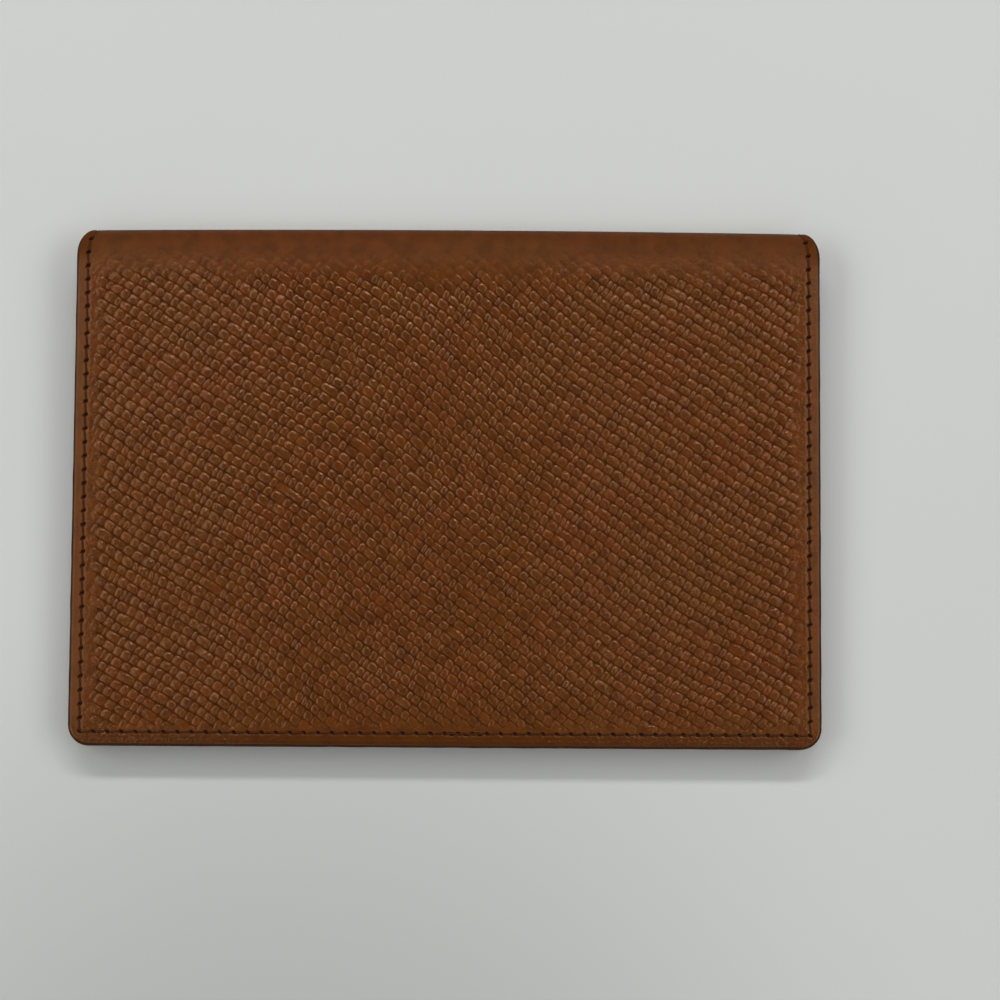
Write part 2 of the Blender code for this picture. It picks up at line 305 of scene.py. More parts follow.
def stitch_mesh(rng, runs, level, inwards):
    """Every stitch of a seam as its own short thread, bowed down into a needle hole at each end.
    level gives the depth of the leather's face."""
    sides, spots = THREAD_SIDES, THREAD_SPOTS
    share = np.linspace(0.0, 1.0, spots)
    turn = np.arange(sides) * 2 * math.pi / sides
    points, faces, strands = [], [], []
    base = 0
    for marks in runs:
        slits = slit_directions(marks)
        for a, b, slit_a, slit_b in zip(marks, marks[1:], slits, slits[1:]):
            if np.hypot(*(b - a)) > PITCH * 1.9:
                continue
            start = a + slit_a * HOLE_LONG * 0.35
            finish = b - slit_b * HOLE_LONG * 0.35
            if abs(b[1] - a[1]) > abs(b[0] - a[0]):
                swap = 1.0 if b[1] > a[1] else -1.0
                start = a + slit_a * HOLE_LONG * 0.3 * -swap
                finish = b + slit_b * HOLE_LONG * 0.3 * swap
            line = start + (finish - start) * share[:, None]
            away = finish - start
            length = math.hypot(*away)
            across = np.array([-away[1], away[0]]) / length
            thick = THREAD / 2 * (0.92 + 0.16 * rng.random())
            dive = np.abs(2 * share - 1) ** 7
            depth = THREAD_LIE + THREAD_DIVE * dive + 0.02 * rng.normal()
            swell = thick * (1.0 - 0.35 * dive)
            for k in range(spots):
                ring = line[k] + across * (swell[k] * np.cos(turn))[:, None]
                height = THREAD_FLAT * swell[k] * np.sin(turn)
                down = level(ring[:, 0], ring[:, 1]) + inwards * (depth[k] - height)
                points.append(np.column_stack([ring, down]))
                reach = np.full(sides, share[k] * length)
                strands.append(np.column_stack([reach, turn, np.zeros(sides)]))
            for k in range(spots - 1):
                for i in range(sides):
                    j = (i + 1) % sides
                    one = base + k * sides
                    faces.append((one + i, one + j, one + sides + j, one + sides + i))
            faces.append(tuple(base + i for i in reversed(range(sides))))
            faces.append(tuple(base + (spots - 1) * sides + i for i in range(sides)))
            base += spots * sides
    return np.concatenate(points), faces, np.concatenate(strands)


# ---------------------------------------------------------------- the grain


def grain_amount(rng, x, t):
    """Height of the grain: pressed flat at the seam and the free edge, worn away over the fold."""
    inset = side_x(t) - np.abs(x)
    ragged = 1.1 * drift(rng, x, t, 16.0)
    fold = 0.07 * smooth(1.0, 4.0, t) + 0.93 * smooth(4.0, 14.5, t + ragged)
    sides = 0.1 + 0.9 * smooth(2.6, 5.8, inset + 0.35 * ragged)
    free = 0.75 + 0.25 * smooth(2.5, 9.0, FREE - t + ragged)
    patches = 0.92 + 0.09 * drift(rng, x, t, 23.0)
    return fold * sides * free * patches


def row_wave(rng, count):
    """A slow wave for each of the grooves between rows: amplitudes, steps and phases."""
    return rng.random((count, 3)) * (0.14, 5.0, 2 * math.pi) + (0.05, 6.0, 0.0)


def grain_points(rng):
    """The pebbles of the grain, pressed in slanting rows.

    Returns points (x, t, dip, tone, tint) and the edges that run along the grooves. tone is 0 in a
    groove and 1 on top of a pebble, and tint is the pebble's own random number."""
    along = np.array([math.cos(ROW_ANGLE), math.sin(ROW_ANGLE)])
    down = np.array([-along[1], along[0]])
    centre = np.array([0.0, FREE / 2])
    rows = int(2 * GRAIN_REACH / ROW_STEP)
    waves = row_wave(rng, rows + 1)
    warp = np.random.default_rng(SEED + 3)
    phases = warp.random((2, 3)) * 2 * math.pi

    def to_sheet(s, w):
        """Place on the sheet of a point s along the rows and w across them. Rows bend slowly."""
        s_bent = s + 0.9 * np.sin(s / 21.0 + w / 34.0 + phases[0, 0])
        s_bent = s_bent + 0.5 * np.sin(w / 9.5 + phases[0, 1])
        w_bent = w + 1.3 * np.sin(s / 19.0 - w / 41.0 + phases[1, 0])
        w_bent = w_bent + 0.35 * np.sin(s / 7.3 + phases[1, 1])
        return centre + np.outer(s_bent, along) + np.outer(w_bent, down)

    def groove_w(row, s):
        size, step, phase = waves[row]
        return (row - rows / 2) * ROW_STEP + size * np.sin(s * 2 * math.pi / step + phase)

    def breaks(row):
        """Where the pebbles of a row meet: about evenly spaced, now and then one split in two."""
        count = int(2 * GRAIN_REACH / CROSS_STEP)
        s = (np.arange(count) - count / 2) * CROSS_STEP
        s = s + rng.normal(0.0, 0.14 * CROSS_STEP, count)
        place = to_sheet(s, np.full(count, (row - rows / 2) * ROW_STEP))
        bond = 0.25 + 0.75 * smooth(-50.0, -5.0, place[:, 0])
        s = s + bond * slips[row] * CROSS_STEP
        splits = s[rng.random(count) < SPLIT_SHARE] + CROSS_STEP * 0.5
        s = s[rng.random(count) > MISSING_SHARE]
        s = np.sort(np.concatenate([s, splits]))
        return s[np.concatenate([[True], np.diff(s) > BREAK_MIN])]

    slips = rng.random(rows)
    lean = rng.normal(0.12, 0.12, rows)
    cuts = [breaks(row) for row in range(rows)]
    points, edges = [], []
    shift = 0

    def add(place, dip, tone, tint):
        nonlocal shift
        first = shift
        points.append(marked(place, dip, tone, tint))
        shift += len(place)
        return first

    upper_ids, lower_ids = {}, {}
    for row in range(1, rows):
        above = cuts[row - 1] + lean[row - 1] + rng.normal(0.0, 0.05, len(cuts[row - 1]))
        below = cuts[row]
        s = np.concatenate([above, below])
        order = np.argsort(s, kind="stable")
        gaps = np.diff(s[order])
        close = np.concatenate([[False], gaps < GROOVE_HALF])
        node_of = np.cumsum(~close) - 1
        kept = order[~close]
        place = to_sheet(s[kept], groove_w(row, s[kept]))
        dip = GROOVE * (0.85 + 0.3 * rng.random(len(kept)))
        first = add(place, dip, 0.0, 0.5)
        number = np.empty(len(s), int)
        number[order] = first + node_of
        upper_ids[row] = number[len(above) :]
        lower_ids[row - 1] = number[: len(above)]
        line = first + np.arange(len(kept))
        edges.append(np.column_stack([line[:-1], line[1:]]))

    ring = np.linspace(0.0, 2 * math.pi, 12, endpoint=False)
    power = 2 / SQUARENESS
    round_p = np.sign(np.cos(ring)) * np.abs(np.cos(ring)) ** power
    round_q = np.sign(np.sin(ring)) * np.abs(np.sin(ring)) ** power
    for row in range(1, rows - 1):
        s_top = cuts[row]
        s_low = cuts[row] + lean[row]
        top_w, low_w = groove_w(row, s_top), groove_w(row + 1, s_low)
        mid_s, mid_w = (s_top + s_low) / 2, (top_w + low_w) / 2
        middle = to_sheet(mid_s + rng.normal(0.0, 0.11, len(mid_s)), mid_w)
        place_x = middle[:, 0]
        cross_depth = 0.95 - 0.42 * smooth(-45.0, 10.0, place_x)
        dip = GROOVE * cross_depth * (0.75 + 0.4 * rng.random(len(mid_s)))
        first = add(middle, dip, 0.25, 0.5)
        numbers = first + np.arange(len(mid_s))
        edges.append(np.column_stack([upper_ids[row], numbers]))
        edges.append(np.column_stack([numbers, lower_ids[row]]))

        count = len(s_top) - 1
        tint = rng.random(count)
        tilt = rng.normal(0.0, 0.05, (count, 2))
        lift = rng.normal(0.0, 0.016, count)
        half_s = (s_top[1:] - s_top[:-1]) / 2
        mean_s = (mid_s[1:] + mid_s[:-1]) / 2
        top_mid = groove_w(row, mean_s)
        low_mid = groove_w(row + 1, mean_s)
        half_w = (low_mid - top_mid) / 2
        mean_w = (low_mid + top_mid) / 2
        reach_s = np.maximum(half_s - GROOVE_HALF, 0.16)
        reach_w = np.maximum(half_w - GROOVE_HALF - 0.02, 0.2)
        for share, spots, dip, tone in (
            (1.0, 1, 0.075, 0.55),
            (0.66, 2, 0.012, 0.92),
            (0.0, 12, 0.0, 1.0),
        ):
            for p, q in zip(round_p[::spots], round_q[::spots]):
                ds = reach_s * share * p
                dw = reach_w * share * q
                skew = lean[row] * dw / (2 * half_w)
                height = dip + lift + ds * tilt[:, 0] + dw * tilt[:, 1]
                add(to_sheet(mean_s + ds + skew, mean_w + dw), height, tone, tint)

    points = np.concatenate(points)
    edges = np.concatenate(edges)
    x, t = points[:, 0], points[:, 1]
    keep = (np.abs(x) < HALF) & (t > FOLD_LINE) & (t < FREE)
    keep[keep] = inset_of(x[keep], t[keep]) > GRAIN_INSET
    number = np.cumsum(keep) - 1
    edges = number[edges[keep[edges].all(axis=1)]]
    return points[keep], edges[edges[:, 0] != edges[:, 1]]


# ---------------------------------------------------------------- sheets


def surface(outline, rings, marks, inner, inner_edges):
    """Lays out one face of a stitched sheet: its outline, lines along the margins, needle holes and
    inner points. Returns points (x, t, dip, tone, tint), the painted shade of each as part of a
    hole, the triangles, and the outline's point numbers."""
    lines = np.concatenate([outline, *rings])
    lines = marked(lines[:, :2], lines[:, 2])
    keep = np.ones(len(lines), bool)
    if len(marks):
        keep = ~near_holes(lines, marks)
        keep[: len(outline)] = True
    lines = lines[keep]
    blocks = [lines]
    hole_shade = [np.zeros(len(lines))]
    if len(marks):
        holes = hole_points(marks)
        blocks.append(marked(holes[:, :2], holes[:, 2], HOLE_TONE))
        # Deeper hole points get more painted shade.
        hole_shade.append(smooth(0.04, 0.25, holes[:, 2]))
    shift = sum(len(block) for block in blocks)
    blocks.append(inner)
    hole_shade.append(np.zeros(len(inner)))
    points = np.concatenate(blocks)
    hole_shade = np.concatenate(hole_shade)
    count = len(outline)
    loop = [(k, (k + 1) % count) for k in range(count)]
    edges = loop + [(int(a) + shift, int(b) + shift) for a, b in inner_edges]
    faces, source = triangulate(points[:, :2], edges)
    points, hole_shade = points[source], hole_shade[source]
    back = {int(s): k for k, s in enumerate(source)}
    loop = [back[k] for k in range(count)]
    return points, hole_shade, faces, loop


def cut_line(start, insets):
    """Points (x, t) across the sheet where a half begins, from its right side to its left."""
    edge = [float(side_x(np.array([start]), inset)[0]) for inset in insets]
    inner = edge[-1]
    middle = np.linspace(inner, -inner, round(2 * inner / CUT_STEP))[1:-1]
    x = np.concatenate([edge[1:], middle, -np.array(edge[1:])[::-1]])
    return np.column_stack([x, np.full(len(x), start)])


def signed_volume(points, faces):
    fans = [(face[0], face[k], face[k + 1]) for face in faces for k in range(1, len(face) - 1)]
    a, b, c = (points[column] for column in np.array(fans).T)
    return float(np.einsum("ij,ij->i", a, np.cross(b, c)).sum() / 6)


def make_object(name, points, faces, attributes, material, sharp=()):
    """A mesh object from world points in millimetres, with its faces turned outwards."""
    if signed_volume(points, faces) < 0:
        faces = [tuple(reversed(face)) for face in faces]
    mesh = bpy.data.meshes.new(name)
    mesh.from_pydata((points * MM).tolist(), [], [tuple(map(int, f)) for f in faces])
    mesh.validate()
    mesh.update()
    for label, values in attributes.items():
        values = np.asarray(values, np.float32)
        kind = "FLOAT" if values.ndim == 1 else "FLOAT_VECTOR"
        field = "value" if values.ndim == 1 else "vector"
        attribute = mesh.attributes.new(label, kind, "POINT")
        attribute.data.foreach_set(field, values.ravel())
    mesh.polygons.foreach_set("use_smooth", [True] * len(mesh.polygons))
    if len(sharp):
        lines = {tuple(sorted((int(a), int(b)))) for a, b in sharp}
        flags = [tuple(sorted(edge.vertices)) in lines for edge in mesh.edges]
        attribute = mesh.attributes.get("sharp_edge")
        attribute = attribute or mesh.attributes.new("sharp_edge", "BOOLEAN", "EDGE")
        attribute.data.foreach_set("value", flags)
    mesh.materials.append(material)
    obj = bpy.data.objects.new(name, mesh)
    bpy.context.scene.collection.objects.link(obj)
    return obj


def sheet_object(name, side, upper, lower, face_h, under_h, material):
    """A closed sheet between its stitched face and its plain back, with a wall round the edge.

    upper and lower are what surface() returns. face_h and under_h turn (x, t, dip) into depths."""
    points, hole_shade, faces, loop = upper
    under, _, under_faces, under_loop = lower
    place = np.column_stack([points[:, :2], face_h(points)])
    under_place = np.column_stack([under[:, :2], under_h(under)])
    shift = len(place)
    count = len(loop)
    wall = []
    for k in range(count):
        n = (k + 1) % count
        wall.append((loop[n], loop[k], shift + under_loop[k], shift + under_loop[n]))
    all_faces = [tuple(f) for f in faces.tolist()]
    all_faces += [tuple(shift + v for v in reversed(f)) for f in under_faces.tolist()]
    all_faces += wall
    sheet = np.concatenate([place, under_place])
    rim = list(zip(loop, loop[1:] + loop[:1]))
    under_rim = zip(under_loop, under_loop[1:] + under_loop[:1])
    rim += [(shift + a, shift + b) for a, b in under_rim]
    zeros = np.zeros(len(under))
    attributes = {
        "sheet": sheet,
        "tone": np.concatenate([points[:, 3], zeros + UNDER_TONE]),
        "tint": np.concatenate([points[:, 4], zeros + PLAIN_TINT]),
        "hole_shade": np.concatenate([hole_shade, zeros]),
        "inset": np.concatenate([inset_of(points[:, 0], points[:, 1]), zeros + FAR_INSET]),
    }
    return make_object(name, bend(sheet, side), all_faces, attributes, material, rim)


def grid_points(start, inset, step):
    """Plain inner points for a smooth face, close together round the fold."""
    x = np.arange(-HALF, HALF, step)
    far = np.arange(max(start, CURVED) + step, FREE, step)
    t = np.concatenate([np.array(stations(start)[1:]), far])
    x, t = (grid.ravel() for grid in np.meshgrid(x, t))
    keep = (inset_of(x, t) > inset) & (t > start + 0.01)
    return marked(np.column_stack([x[keep], t[keep]]), 0.0)


def rings_of(profile, start):
    """The lines of a margin, each with its dip."""
    found = []
    for inset, dip in profile:
        line = border(inset, start)
        found.append(np.column_stack([line, np.full(len(line), dip)]))
    return found


def stitched_face(profile, start, marks, inner, inner_edges=()):
    """A sheet's face with its margins drawn by profile, a list of (inset, dip)."""
    insets, dips = zip(*profile)
    first, *rest = rings_of(profile, start)
    cut = cut_line(start, insets)
    cut = np.column_stack([cut, np.interp(inset_of(cut[:, 0], cut[:, 1]), insets, dips)])
    outline = np.concatenate([first, cut])
    rings = [ring[1:-1] for ring in rest]
    return surface(outline, rings, marks, inner, inner_edges)


def plain_face(profile, start, step=3.0):
    """The smooth back of a sheet, with the same outline as its face."""
    insets = [inset for inset, _ in profile]
    outline = np.concatenate([border(insets[0], start), cut_line(start, insets)])
    outline = np.column_stack([outline, np.zeros(len(outline))])
    inner = grid_points(start, 1.0, step)
    return surface(outline, [], (), inner, ())


# ---------------------------------------------------------------- materials


def linear(red, green, blue):
    """A colour given as 0 to 255 screen values."""

    def one(value):
        share = value / 255
        return share / 12.92 if share <= 0.04045 else ((share + 0.055) / 1.055) ** 2.4

    return one(red), one(green), one(blue), 1.0


class Graph:
    """Short calls for building a material's nodes."""

    def __init__(self, name, **fixed):
        self.material = bpy.data.materials.new(name)
        self.material.use_nodes = True
        self.tree = self.material.node_tree
        self.shader = self.tree.nodes["Principled BSDF"]
        for socket, value in fixed.items():
            self.shader.inputs[socket.replace("_", " ")].default_value = value

    def feed(self, socket, value):
        if isinstance(value, bpy.types.NodeSocket):
            self.tree.links.new(value, socket)
        else:
            socket.default_value = value

    def node(self, kind, inputs, output=0, **settings):
        node = self.tree.nodes.new(kind)
        for label, value in settings.items():
            setattr(node, label, value)
        for label, value in inputs.items():
            self.feed(node.inputs[label], value)
        return node.outputs[output]

    def split(self, vector):
        """The x, y and z of a vector."""
        node = self.tree.nodes.new("ShaderNodeSeparateXYZ")
        self.feed(node.inputs[0], vector)
        return node.outputs

    def attribute(self, name, output="Fac"):
        return self.node("ShaderNodeAttribute", {}, output, attribute_name=name)

    def noise(self, vector, scale, detail=2.0, roughness=0.5, distortion=0.0):
        inputs = {
            "Vector": vector,
            "Scale": scale,
            "Detail": detail,
            "Roughness": roughness,
            "Distortion": distortion,
        }
        return self.node("ShaderNodeTexNoise", inputs)

    def span(self, value, low, high, to_low=0.0, to_high=1.0):
        inputs = {
            "Value": value,
            "From Min": low,
            "From Max": high,
            "To Min": to_low,
            "To Max": to_high,
        }
        return self.node("ShaderNodeMapRange", inputs, interpolation_type="SMOOTHSTEP")

    def math(self, operation, a, b=0.0):
        return self.node("ShaderNodeMath", {0: a, 1: b}, operation=operation)

    def mix(self, share, a, b):
        return self.node("ShaderNodeMix", {0: share, 6: a, 7: b}, 2, data_type="RGBA")

    def bump(self, height, distance, strength, normal=None):
        inputs = {"Height": height, "Distance": distance, "Strength": strength}
        if normal is not None:
            inputs["Normal"] = normal
        return self.node("ShaderNodeBump", inputs)

    def finish(self, colour, roughness, normal):
        self.feed(self.shader.inputs["Base Color"], colour)
        self.feed(self.shader.inputs["Roughness"], roughness)
        self.feed(self.shader.inputs["Normal"], normal)
        return self.material


def outer_leather():
    g = Graph("outer_leather", Specular_Tint=(1.0, 0.60, 0.37, 1.0))
    sheet = g.attribute("sheet", "Vector")
    tone = g.attribute("tone")
    tint = g.attribute("tint")
    hole_shade = g.attribute("hole_shade")
    inset = g.attribute("inset")
    place_x, place_t, _ = g.split(sheet)
    across = g.math("ABSOLUTE", place_t)
    broad = g.noise(sheet, 0.055, 3.0, 0.6, 0.4)
    middle = g.noise(sheet, 0.3, 3.0, 0.55)
    fine = g.noise(sheet, 2.3, 4.0, 0.65)
    pores = g.noise(sheet, 7.5, 3.0, 0.6)
    tan = linear(109, 58, 14)
    red = linear(114, 55, 16)
    deep = linear(60, 26, 4)
    colour = g.mix(g.span(broad, 0.35, 0.75), tan, red)
    colour = g.mix(g.span(middle, 0.35, 0.75, 0.0, 0.45), colour, deep)
    # The grooves between the pebbles are painted darker: painted shade, strongest where tone is
    # lowest.
    low = g.span(tone, 0.05, 0.6, 0.75, 0.0)
    groove = g.math("MULTIPLY", low, g.span(middle, 0.35, 0.65, 0.65, 1.0))
    colour = g.mix(groove, colour, deep)
    # Darker over the fold; the margin along the free edge is darkened as painted shade.
    by_fold = g.span(across, 3.0, 11.0, 0.30, 0.0)
    free_edge_painted_shade = g.span(across, FREE - 3.2, FREE - 0.8, 0.0, 0.55)
    colour = g.mix(g.math("ADD", by_fold, free_edge_painted_shade), colour, deep)
    # Random darker mottling of the pebbles, the leather's own tone.
    pebble_mottle = g.math("ADD", g.math("MULTIPLY", tint, 0.16), g.math("MULTIPLY", fine, 0.34))
    colour = g.mix(g.span(pebble_mottle, 0.12, 0.42, 0.30, 0.0), colour, deep)
    colour = g.mix(g.span(inset, 0.12, 0.42, 0.9, 0.0), colour, linear(*CUT_EDGE))
    # Darker along the stitch line's groove: painted shade.
    from_seam = g.math("ABSOLUTE", g.math("SUBTRACT", inset, SEAM))
    colour = g.mix(g.span(from_seam, 0.12, 0.34, 0.45, 0.0), colour, deep)
    # Painted shade inside the needle holes.
    colour = g.mix(hole_shade, colour, linear(*HOLE_SHADE))
    from_middle = g.math("ABSOLUTE", g.math("ADD", place_x, 8.0))
    rough = g.math("ADD", g.span(fine, 0.3, 0.7, 0.19, 0.28), g.span(tone, 0.1, 0.6, 0.40, 0.0))
    rough = g.math("ADD", rough, g.span(across, 3.0, 12.0, 0.45, 0.0))
    on_sides = g.span(across, FREE - 4.0, FREE - 3.0, 1.0, 0.0)
    margin = g.math("MULTIPLY", g.span(inset, 2.2, 3.0, 0.22, 0.0), on_sides)
    rough = g.math("ADD", rough, margin)
    on_tops = g.span(tone, 0.1, 0.6, 0.05, 0.85)
    gloss = g.math("MULTIPLY", on_tops, g.span(across, 3.0, 12.0, 0.35, 1.0))
    g.feed(g.shader.inputs["Specular IOR Level"], gloss)
    crumple = g.noise(sheet, 1.5, 3.0, 0.55, 0.6)
    crumple = g.math("MULTIPLY", crumple, g.span(from_middle, 14.0, 40.0, 0.25, 1.0))
    normal = g.bump(crumple, 0.00022, 0.6)
    normal = g.bump(g.math("ADD", fine, g.math("MULTIPLY", pores, 0.4)), 0.00005, 0.5, normal)
    return g.finish(colour, rough, normal)


def inner_leather(name, light, deep_colour, grain_scale):
    """Smooth leather of the inside, with a fine natural grain."""
    g = Graph(name, Specular_IOR_Level=0.45)
    sheet = g.attribute("sheet", "Vector")
    hole_shade = g.attribute("hole_shade")
    inset = g.attribute("inset")
    broad = g.noise(sheet, 0.06, 3.0, 0.6, 0.5)
    fine = g.noise(sheet, 1.7, 4.0, 0.6)
    cells = g.node(
        "ShaderNodeTexVoronoi",
        {"Vector": sheet, "Scale": grain_scale, "Randomness": 0.9},
        feature="DISTANCE_TO_EDGE",
    )
    colour = g.mix(g.span(broad, 0.35, 0.7, 0.0, 0.6), light, deep_colour)
    # The grain's valleys are painted darker: painted shade.
    colour = g.mix(g.span(cells, 0.0, 0.12, 0.4, 0.0), colour, deep_colour)
    colour = g.mix(g.span(fine, 0.35, 0.7, 0.25, 0.0), colour, deep_colour)
    colour = g.mix(g.span(inset, 0.1, 0.4, 0.85, 0.0), colour, linear(*CUT_EDGE))
    # Painted shade inside the needle holes.
    colour = g.mix(hole_shade, colour, linear(*HOLE_SHADE))
    rough = g.span(fine, 0.3, 0.7, 0.5, 0.64)
    height = g.math("ADD", g.span(cells, 0.0, 0.16), g.math("MULTIPLY", fine, 0.5))
    return g.finish(colour, rough, g.bump(height, 0.00005, 0.6))


def thread_material():
    """Waxed, twisted thread: the strands wind round it."""
    g = Graph("thread", Specular_IOR_Level=0.12, Specular_Tint=(1.0, 0.7, 0.5, 1.0))
    reach, turn, _ = g.split(g.attribute("strand", "Vector"))
    phase = g.math("ADD", g.math("MULTIPLY", reach, 13.0), g.math("MULTIPLY", turn, 2.0))
    twist = g.math("ABSOLUTE", g.math("SINE", g.math("MULTIPLY", phase, 0.5)))
    fuzz = g.noise(g.attribute("sheet", "Vector"), 9.0, 3.0, 0.7)
    # The valleys between the strands are painted darker: painted shade.
    colour = g.mix(g.span(twist, 0.0, 0.8, 1.0, 0.0), linear(80, 43, 21), linear(52, 26, 12))
    colour = g.mix(g.span(fuzz, 0.5, 0.8, 0.0, 0.4), colour, linear(72, 38, 22))
    height = g.math("ADD", twist, g.math("MULTIPLY", fuzz, 0.4))
    return g.finish(colour, g.span(fuzz, 0.3, 0.7, 0.5, 0.7), g.bump(height, 0.00005, 0.8))


def edge_paint():
    """Dark edge paint, burnished, worn through to the leather here and there."""
    g = Graph("edge_paint", Specular_IOR_Level=0.06, Specular_Tint=(1.0, 0.75, 0.55, 1.0))
    sheet = g.attribute("sheet", "Vector")
    slow = g.noise(sheet, 0.5, 3.0, 0.6)
    fine = g.noise(sheet, 5.0, 4.0, 0.7)
    colour = g.mix(g.span(fine, 0.4, 0.75, 0.0, 0.6), linear(64, 33, 17), linear(90, 50, 28))
    colour = g.mix(g.span(slow, 0.6, 0.72, 0.0, 0.55), colour, linear(96, 58, 34))
    height = g.math("ADD", g.math("MULTIPLY", slow, 1.4), g.math("MULTIPLY", fine, 0.5))
    return g.finish(colour, g.span(fine, 0.3, 0.7, 0.34, 0.52), g.bump(height, 0.00008, 0.5))


def board_material():
    """Grey-brown fibreboard."""
    g = Graph("fibreboard", Specular_IOR_Level=0.3)
    place = g.node("ShaderNodeTexCoord", {}, "Object")
    stretched = g.node("ShaderNodeMapping", {"Vector": place, "Scale": (380.0, 2100.0, 2100.0)})
    fibres = g.noise(stretched, 1.0, 4.0, 0.7, 0.8)
    flecks = g.noise(place, 900.0, 2.0, 0.6)
    colour = g.mix(g.span(fibres, 0.3, 0.75), linear(142, 130, 113), linear(104, 91, 76))
    colour = g.mix(g.span(flecks, 0.62, 0.75), colour, linear(72, 60, 48))
    height = g.math("ADD", fibres, g.math("MULTIPLY", flecks, 0.5))
    return g.finish(colour, g.span(fibres, 0.3, 0.7, 0.82, 0.95), g.bump(height, 0.0001, 0.6))


def floor_material():
    g = Graph("table", Specular_IOR_Level=0.25)
    place = g.node("ShaderNodeTexCoord", {}, "Object")
    slow = g.noise(place, 14.0, 2.0, 0.5)
    shaded = {0: place, 1: PAINTED_SHADOW_PLACE}
    away = g.node("ShaderNodeVectorMath", shaded, 1, operation="DISTANCE")
    colour = g.mix(slow, linear(226, 227, 224), linear(222, 223, 220))
    # Painted shadow on the table, darkening it round that place.
    colour = g.mix(g.span(away, 0.03, 0.14, 0.5, 0.0), colour, linear(170, 173, 168))
    return g.finish(colour, g.span(slow, 0.3, 0.7, 0.5, 0.6), g.bump(slow, 0.00002, 0.2))


# ---------------------------------------------------------------- the pieces

# Lines along the outer leather's margin: (inset, dip below the face)
OUTER_MARGIN = [
    (0.0, 0.42),
    (0.02, 0.28),
    (0.07, 0.16),
    (0.16, 0.06),
    (0.30, 0.01),
    (0.48, -0.01),
    (0.66, -0.02),
    (0.82, 0.0),
    (0.96, 0.04),
    (1.12, 0.075),
    (1.32, 0.075),
    (1.52, 0.06),
    (1.70, 0.06),
    (1.84, 0.12),
    (2.00, 0.16),
    (2.16, 0.12),
    (2.32, 0.05),
    (2.62, 0.03),
]
INNER_MARGIN = [
    (0.0, 0.14),
    (0.03, 0.06),
    (0.12, 0.01),
    (0.3, 0.0),
    (1.0, 0.0),
    (1.6, 0.01),
    (1.84, 0.08),
    (2.0, 0.12),
    (2.16, 0.08),
    (2.4, 0.01),
    (3.0, 0.0),
    (4.0, 0.0),
]
# Lines along a sleeve's mouth: (distance from it, dip)
MOUTH_CREASE = [
    (0.03, 0.1),
    (0.1, 0.03),
    (0.25, 0.0),
    (1.25, 0.0),
    (1.45, 0.07),
    (1.6, 0.1),
    (1.75, 0.07),
    (1.95, 0.0),
]
# Section of the edge paint: (how far it stands out, depth, how far it follows the sleeve)
EDGE_SECTION = [
    (-0.06, 0.30, 0.0),
    (-0.02, 0.22, 0.0),
    (0.07, 0.25, 0.0),
    (0.15, 0.40, 0.0),
    (0.19, 0.62, 0.0),
    (0.17, 0.90, 0.0),
    (0.10, 1.10, 0.0),
    (0.15, 1.26, 0.3),
    (0.17, 1.42, 0.7),
    (0.10, 1.56, 1.0),
    (0.0, 1.60, 1.0),
    (-0.06, 1.52, 1.0),
]


def attach(obj):
    """Bakes the piece's place into its mesh; it is not hung on a body or hinge."""
    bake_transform(obj)


def add_outer(name, side, material, rng):
    marks, tack = seam_marks(0.0)
    holes = np.concatenate([marks, tack])
    inner, edges = grain_points(rng)
    x, t = inner[:, 0], inner[:, 1]
    amount = grain_amount(rng, x, t)
    inner[:, 2] = inner[:, 2] * amount
    inner[:, 3] = 1.0 - (1.0 - inner[:, 3]) * np.clip(amount * 1.3, 0.0, 1.0)
    inner[:, 2] += 0.03 * (1.0 - smooth(2.6, 4.5, inset_of(x, t)))
    upper = stitched_face(OUTER_MARGIN, 0.0, holes, inner, edges)
    lower = plain_face(OUTER_MARGIN, 0.0)
    waves = np.random.default_rng(SEED + 7)

    def face_h(points):
        x, t, dip = points[:, 0], points[:, 1], points[:, 2]
        inset = np.minimum(side_x(t) - np.abs(x), FREE - t)
        away = smooth(0.0, 9.0, t)
        slow = drift(waves, x, t, 75.0)
        if side > 0:
            puff = PUFF * smooth(1.6, 9.0, inset) * away
            return dip - puff - 0.05 * slow * away * smooth(0.0, 6.0, inset)
        raised = 0.03 * np.maximum(0.0, 1.0 + slow) * away * smooth(0.0, 6.0, inset)
        return np.maximum(dip, 0.0) + raised

    def under_h(points):
        return np.full(len(points), OUTER)

    obj = sheet_object(f"{name}_leather", side, upper, lower, face_h, under_h, material)
    attach(obj)
    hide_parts(f"{name}_outer", "spine_outer")


def add_lining(name, side, material):
    marks, _ = seam_marks(0.0)
    marks = marks[marks[:, 1] < MOUTH - 0.6]
    inner = grid_points(0.0, 4.1, 1.6)
    upper = stitched_face(INNER_MARGIN, 0.0, marks, inner)
    lower = plain_face(INNER_MARGIN, 0.0)

    def face_h(points):
        return LINING_FACE - points[:, 2]

    def under_h(points):
        return np.full(len(points), LINING_TOP)

    obj = sheet_object(f"{name}_lining_leather", side, upper, lower, face_h, under_h, material)
    attach(obj)
    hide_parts(f"{name}_lining", "spine_lining")


def sleeve_level(x, t):
    """Depth of a sleeve's back, which lies on the lining at the margins and stands off inside."""
    inset = np.minimum(side_x(t) - np.abs(x), (FREE - t) / FREE_EDGE_SHARE)
    return LOW + (HIGH - LOW) * smooth(SLEEVE_MARGIN, SLEEVE_MARGIN + SLEEVE_RAMP, inset)


